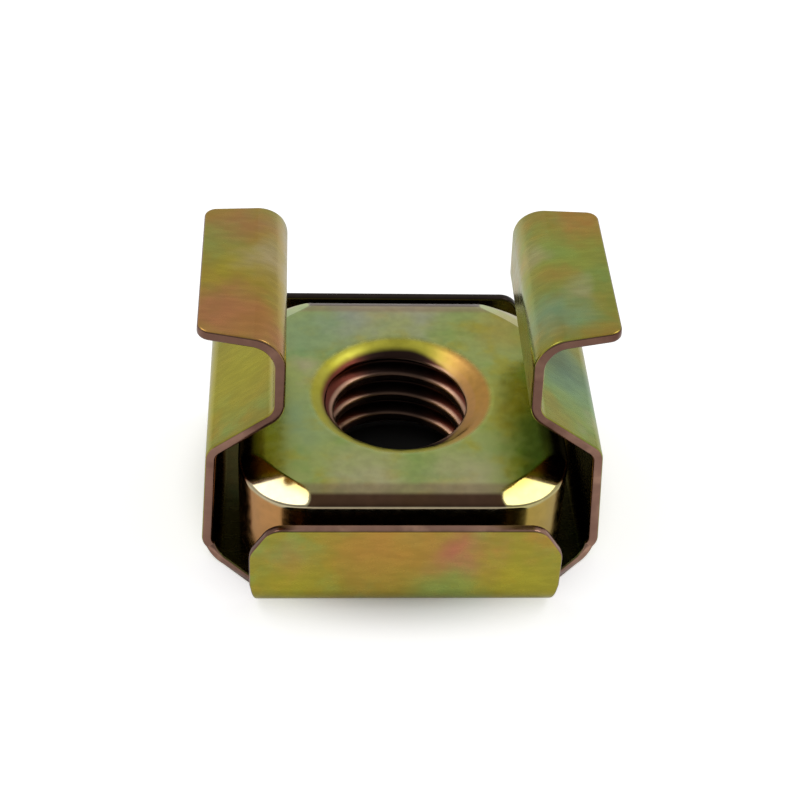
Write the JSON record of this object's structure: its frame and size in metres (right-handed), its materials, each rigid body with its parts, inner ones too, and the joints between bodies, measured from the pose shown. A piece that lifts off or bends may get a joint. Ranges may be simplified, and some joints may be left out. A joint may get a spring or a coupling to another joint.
{
  "type": "rack cage nut",
  "caption": "Square nut held loose in a folded spring-steel cage whose eared arms snap into a square punched hole.",
  "frame": {"origin": "middle of the underside of the cage's base, on the thread axis", "axes": "+Z along the thread axis, from the cage's base towards the rail; X across the two side walls and the span of the ears; Y across the two end tabs"},
  "size_m": [0.0148, 0.014, 0.0102],
  "materials": {
    "cage_steel": "spring steel with a thin yellow zinc chromate coat, olive gold with pink and blue-green patches, satin gloss",
    "nut_steel": "machined steel with the same yellow zinc chromate coat, grey-green on top and golden at the corners"
  },
  "bodies": {
    "root": {"spring_cage": "cage_steel", "square_nut": "nut_steel"}
  },
  "joints": []
}
